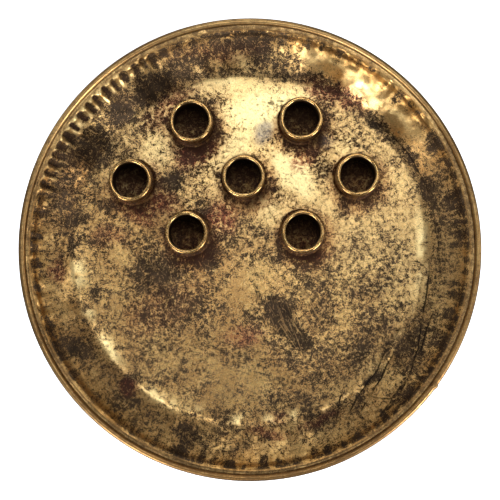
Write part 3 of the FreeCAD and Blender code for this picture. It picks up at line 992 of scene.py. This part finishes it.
def leaf_color(t, grain, marks, haze, dull):
    """The leaf's colours, with the haze, copper-brown patches and amber lacquer on it, and a paleness
    that is partly painted highlight.
    """
    medium, tone = grain["medium"], grain["tone"]
    leaf = t.mix(t.ramp(t.weigh((grain["hue"], 0.5), (tone, 0.5)), 0.42, 0.58), GOLD_DEEP, GOLD)
    leaf = t.mix(t.ramp(tone, 0.52, 0.62, 0.0, 0.75), leaf, GOLD_PALE)
    # Paler leaf on clean places, partly painted highlight towards the top, on the flute ridges and
    # turn-ups.
    leaf = t.mix(t.times(marks["clear"], t.ramp(tone, 0.30, 0.55, 0.45, 1.0)), leaf, GOLD_PALE)
    leaf = t.mix(haze, leaf, HAZE)
    leaf = t.mix(t.times(marks["red"], t.ramp(medium, 0.34, 0.56)), leaf, COPPER)
    leaf = t.mix(t.times(marks["amber"], t.ramp(grain["streak"], 0.3, 0.6, 0.45, 1.0)), leaf, LACQUER)
    return t.mix(t.times(marks["smoothness"], dull), leaf, HAZE)


def crack_lines(t, grain):
    """Cracks and long scratches, as thin lines that wander a little and fade in places."""
    wander = t.times(t.math("SUBTRACT", grain["medium"], 0.5), 0.0022)
    lines = []
    for offset in ("long_crack", "short_crack"):
        away = t.math("ABSOLUTE", t.math("ADD", t.attribute(offset), wander))
        lines.append(t.ramp(away, 0.00028, 0.00080, 1.0, 0.0))
    crack = t.times(t.math("MAXIMUM", *lines), t.attribute("cracked"))
    return t.times(crack, t.ramp(grain["hue"], 0.36, 0.50, 0.35, 0.95))


def gilded(name, leaf_roughness=0.32, dull=0.45):
    """Gold leaf worn through to dark iron in small flecks and scuffs, streaked down the wall."""
    t = Tree(bpy.data.materials.new(name))
    spot = t.coordinate()
    grain = grains(t, spot)
    marks = {mark: t.attribute(mark) for mark in MARKS}
    tone, medium, stain_and_shade = grain["tone"], grain["medium"], marks["stain_and_shade"]
    worn = worn_share(t, spot, grain, marks)
    haze = leaf_haze(t, grain, marks["tarnish"])
    crack = crack_lines(t, grain)

    bare = t.mix(t.ramp(t.noise(spot, 95, 3, 0.6), 0.42, 0.58), IRON, IRON_BLACK)
    bare = t.mix(t.times(marks["red"], 0.5), bare, RUSTY)
    color = t.mix(worn, leaf_color(t, grain, marks, haze, dull), bare)
    color = t.mix(t.times(marks["grey"], t.ramp(tone, 0.42, 0.55, 1.0, 0.6)), color, GREY)
    # Dark stains, with painted shade in the tube bores and flute grooves and a painted shadow leaning -Y
    # from each tube's foot.
    color = t.mix(t.times(stain_and_shade, t.ramp(tone, 0.25, 0.65, 1.0, 0.82)), color, DARK_STAIN_AND_SHADE)
    # Painted shade in the crimp, in the tube bores and on the braze.
    color = t.mix(t.times(marks["painted_shade"], 0.85), color, SHADE)
    color = t.mix(crack, color, CRACK)

    metallic = t.blend(t.math("MAXIMUM", worn, stain_and_shade), 1.0, 0.90)
    leaf_rough = t.weigh((tone, 0.20), (medium, 0.12), (haze, 0.08))
    leaf_rough = t.math("ADD", leaf_rough, leaf_roughness - 0.16)
    roughness = t.blend(stain_and_shade, t.blend(worn, leaf_rough, 0.56), 0.6)
    height = t.weigh((worn, -0.5), (grain["fine"], 0.40), (tone, 0.45), (medium, 0.5), (crack, -0.6))
    height = t.times(height, t.ramp(marks["smoothness"], 0.3, 1.0, 1.0, 0.12))
    return t.finish(color, metallic, roughness, (height, 0.00024, 0.6))


def plain_iron(name):
    """Drawn iron wire with some rust."""
    t = Tree(bpy.data.materials.new(name))
    spot = t.coordinate()
    draw = t.noise(t.vector("MULTIPLY", spot, (1.0, 1.0, 4.0)), 700, 3, 0.6)
    rust = t.noise(spot, 160, 4, 0.65)
    color = t.mix(t.ramp(rust, 0.45, 0.65), WIRE_GREY, WIRE_RUST)
    roughness = t.weigh((draw, 0.3), (rust, 0.3))
    return t.finish(color, 0.8, roughness, (draw, 0.0001, 0.5))


def pad_rubber(name):
    """Dusty black rubber with a fine grain."""
    t = Tree(bpy.data.materials.new(name))
    spot = t.coordinate()
    grain = t.noise(spot, 1400, 3, 0.6)
    color = t.mix(t.ramp(t.noise(spot, 260, 4, 0.65), 0.45, 0.75), RUBBER, DUST)
    roughness = t.math("ADD", t.times(grain, 0.25), 0.62)
    return t.finish(color, 0.0, roughness, (grain, 0.00012, 0.6))


def dress(piece, material):
    piece.data.materials.clear()
    piece.data.materials.append(material)


# ---- stage, lights and camera --------------------------------------------------------------

WALL_LIGHT = 0.215
LOW_LIGHT = 0.12
CEILING_SHARE = 0.55
WORLD_COLOR = (1.0, 0.98, 0.95)
STUDIO_FLAT, STUDIO_BEND = 5.0, 4.0
CAMERA, AIM = (8.1 * MM, -20.2 * MM, 1170 * MM), (0.2 * MM, -0.5 * MM, 23.8 * MM)

# Round soft lights: name, degrees from +X towards +Y, elevation, distance, width, power.
SOFTBOXES = [
    ("key", 80, 76, 1.2, 0.36, 2.2),
    ("fill_left", 238, 24, 1.3, 0.5, 11.0),
    ("fill_right", 318, 22, 1.3, 0.45, 11.0),
    ("fill_front", 268, 40, 1.3, 0.35, 0.5),
    ("fill_back", 92, 24, 1.3, 0.5, 1.7),
    ("fill_east", 0, 24, 1.3, 0.5, 1.6),
    ("fill_west", 145, 24, 1.3, 0.5, 1.1),
    ("kick_right", 20, 67, 1.3, 0.30, 0.55),
    ("kick_left", 172, 67, 1.3, 0.30, 0.3),
]


def look(thing, target, up=(0.0, 1.0, 0.0)):
    """Turns a lamp or camera to face a point, keeping up towards the top of its picture."""
    back = (thing.location - Vector(target)).normalized()
    right = Vector(up).cross(back).normalized()
    turned = Matrix((right, back.cross(right), back)).transposed()
    thing.rotation_euler = turned.to_euler()


def softbox(name, azimuth, elevation, distance, width, power):
    """A round soft light that faces the dish."""
    lamp = bpy.data.lights.new(name, "AREA")
    lamp.shape = "DISK"
    lamp.size = width
    lamp.energy = power
    box = bpy.data.objects.new(name, lamp)
    bpy.context.scene.collection.objects.link(box)
    level, height = distance * polar(elevation).real, distance * polar(elevation).imag
    box.location = (level * polar(azimuth).real, level * polar(azimuth).imag, height)
    look(box, (0.0, 0.0, FLOOR), up=(0.3, 0.9, 0.1))
    box.visible_camera = False


def make_world():
    """Dim studio walls, with less light from below and from straight above."""
    world = bpy.data.worlds.new("studio")
    bpy.context.scene.world = world
    t = Tree(world)
    split = t.add("ShaderNodeSeparateXYZ", {0: t.coordinate("Generated")})
    walls = t.ramp(split.outputs["Z"], -0.15, 0.12, LOW_LIGHT, WALL_LIGHT)
    ceiling = t.ramp(split.outputs["Z"], 0.78, 0.97, 1.0, CEILING_SHARE)
    t.put(WORLD_COLOR, t.shader.inputs["Color"])
    t.put(t.times(walls, ceiling), t.shader.inputs["Strength"])


def make_backdrop():
    """The pale studio floor and the dome that it turns up into. Neither shows in the metal."""
    path = line(0j, complex(STUDIO_FLAT, 0), 4)
    path += arc(complex(STUDIO_FLAT, STUDIO_BEND), STUDIO_BEND, -90, 0, 10)
    path += arc(complex(0, STUDIO_BEND), STUDIO_FLAT + STUDIO_BEND, 0, 84, 10)
    count = 64
    theta = np.arange(count) * 360 / count
    points = [(0.0, 0.0, 0.0)]
    for point in path:
        points += round_points(point.real, theta, np.full(count, point.imag)).tolist()
    faces = [(0, 1 + k, 1 + (k + 1) % count) for k in range(count)]
    for ring in range(len(path) - 1):
        faces += bridge(1 + ring * count, count, 1 + (ring + 1) * count, count)
    mesh = bpy.data.meshes.new("studio_floor")
    mesh.from_pydata(points, [], faces)
    mesh.polygons.foreach_set("use_smooth", [True] * len(mesh.polygons))
    floor = bpy.data.objects.new("studio_floor", mesh)
    bpy.context.scene.collection.objects.link(floor)
    t = Tree(bpy.data.materials.new("studio_floor"))
    grain = t.noise(t.coordinate(), 40, 3, 0.6)
    color = t.mix(t.ramp(grain, 0.3, 0.7), (0.86, 0.86, 0.86), (0.90, 0.90, 0.90))
    t.put((1.0, 1.0, 1.0), t.shader.inputs["Emission Color"])
    t.put(0.95, t.shader.inputs["Emission Strength"])
    dress(floor, t.finish(color, 0.0, 0.7, (grain, 0.0002, 0.2)))
    floor.visible_glossy = False
    floor.visible_diffuse = False
    floor.visible_shadow = False


def make_camera():
    """The camera stands over the dish, a little towards its near side."""
    lens = bpy.data.cameras.new("camera")
    lens.lens = 125.4
    lens.clip_start, lens.clip_end = 0.01, 50.0
    camera = bpy.data.objects.new("camera", lens)
    bpy.context.scene.collection.objects.link(camera)
    camera.location = CAMERA
    look(camera, AIM)
    bpy.context.scene.camera = camera


# ---- the whole scene -----------------------------------------------------------------------

make_camera()
make_world()
make_backdrop()
for light in SOFTBOXES:
    softbox(*light)

sheet_leaf = gilded("gilded_sheet")
tube_leaf = gilded("gilded_tube", 0.23, 0.32)
braze_leaf = gilded("braze", 0.46)
dress(make_dish(), sheet_leaf)
for number in TUBES:
    dress(make_tube(number), tube_leaf)
    dress(make_braze(number), braze_leaf)
dress(frame["nodes"]["rim_wire"], plain_iron("rim_wire"))
rubber = pad_rubber("pad")
for number in range(1, 5):
    dress(frame["nodes"][f"floor_pad_{number}"], rubber)

bpy.context.scene.view_settings.view_transform = "Standard"
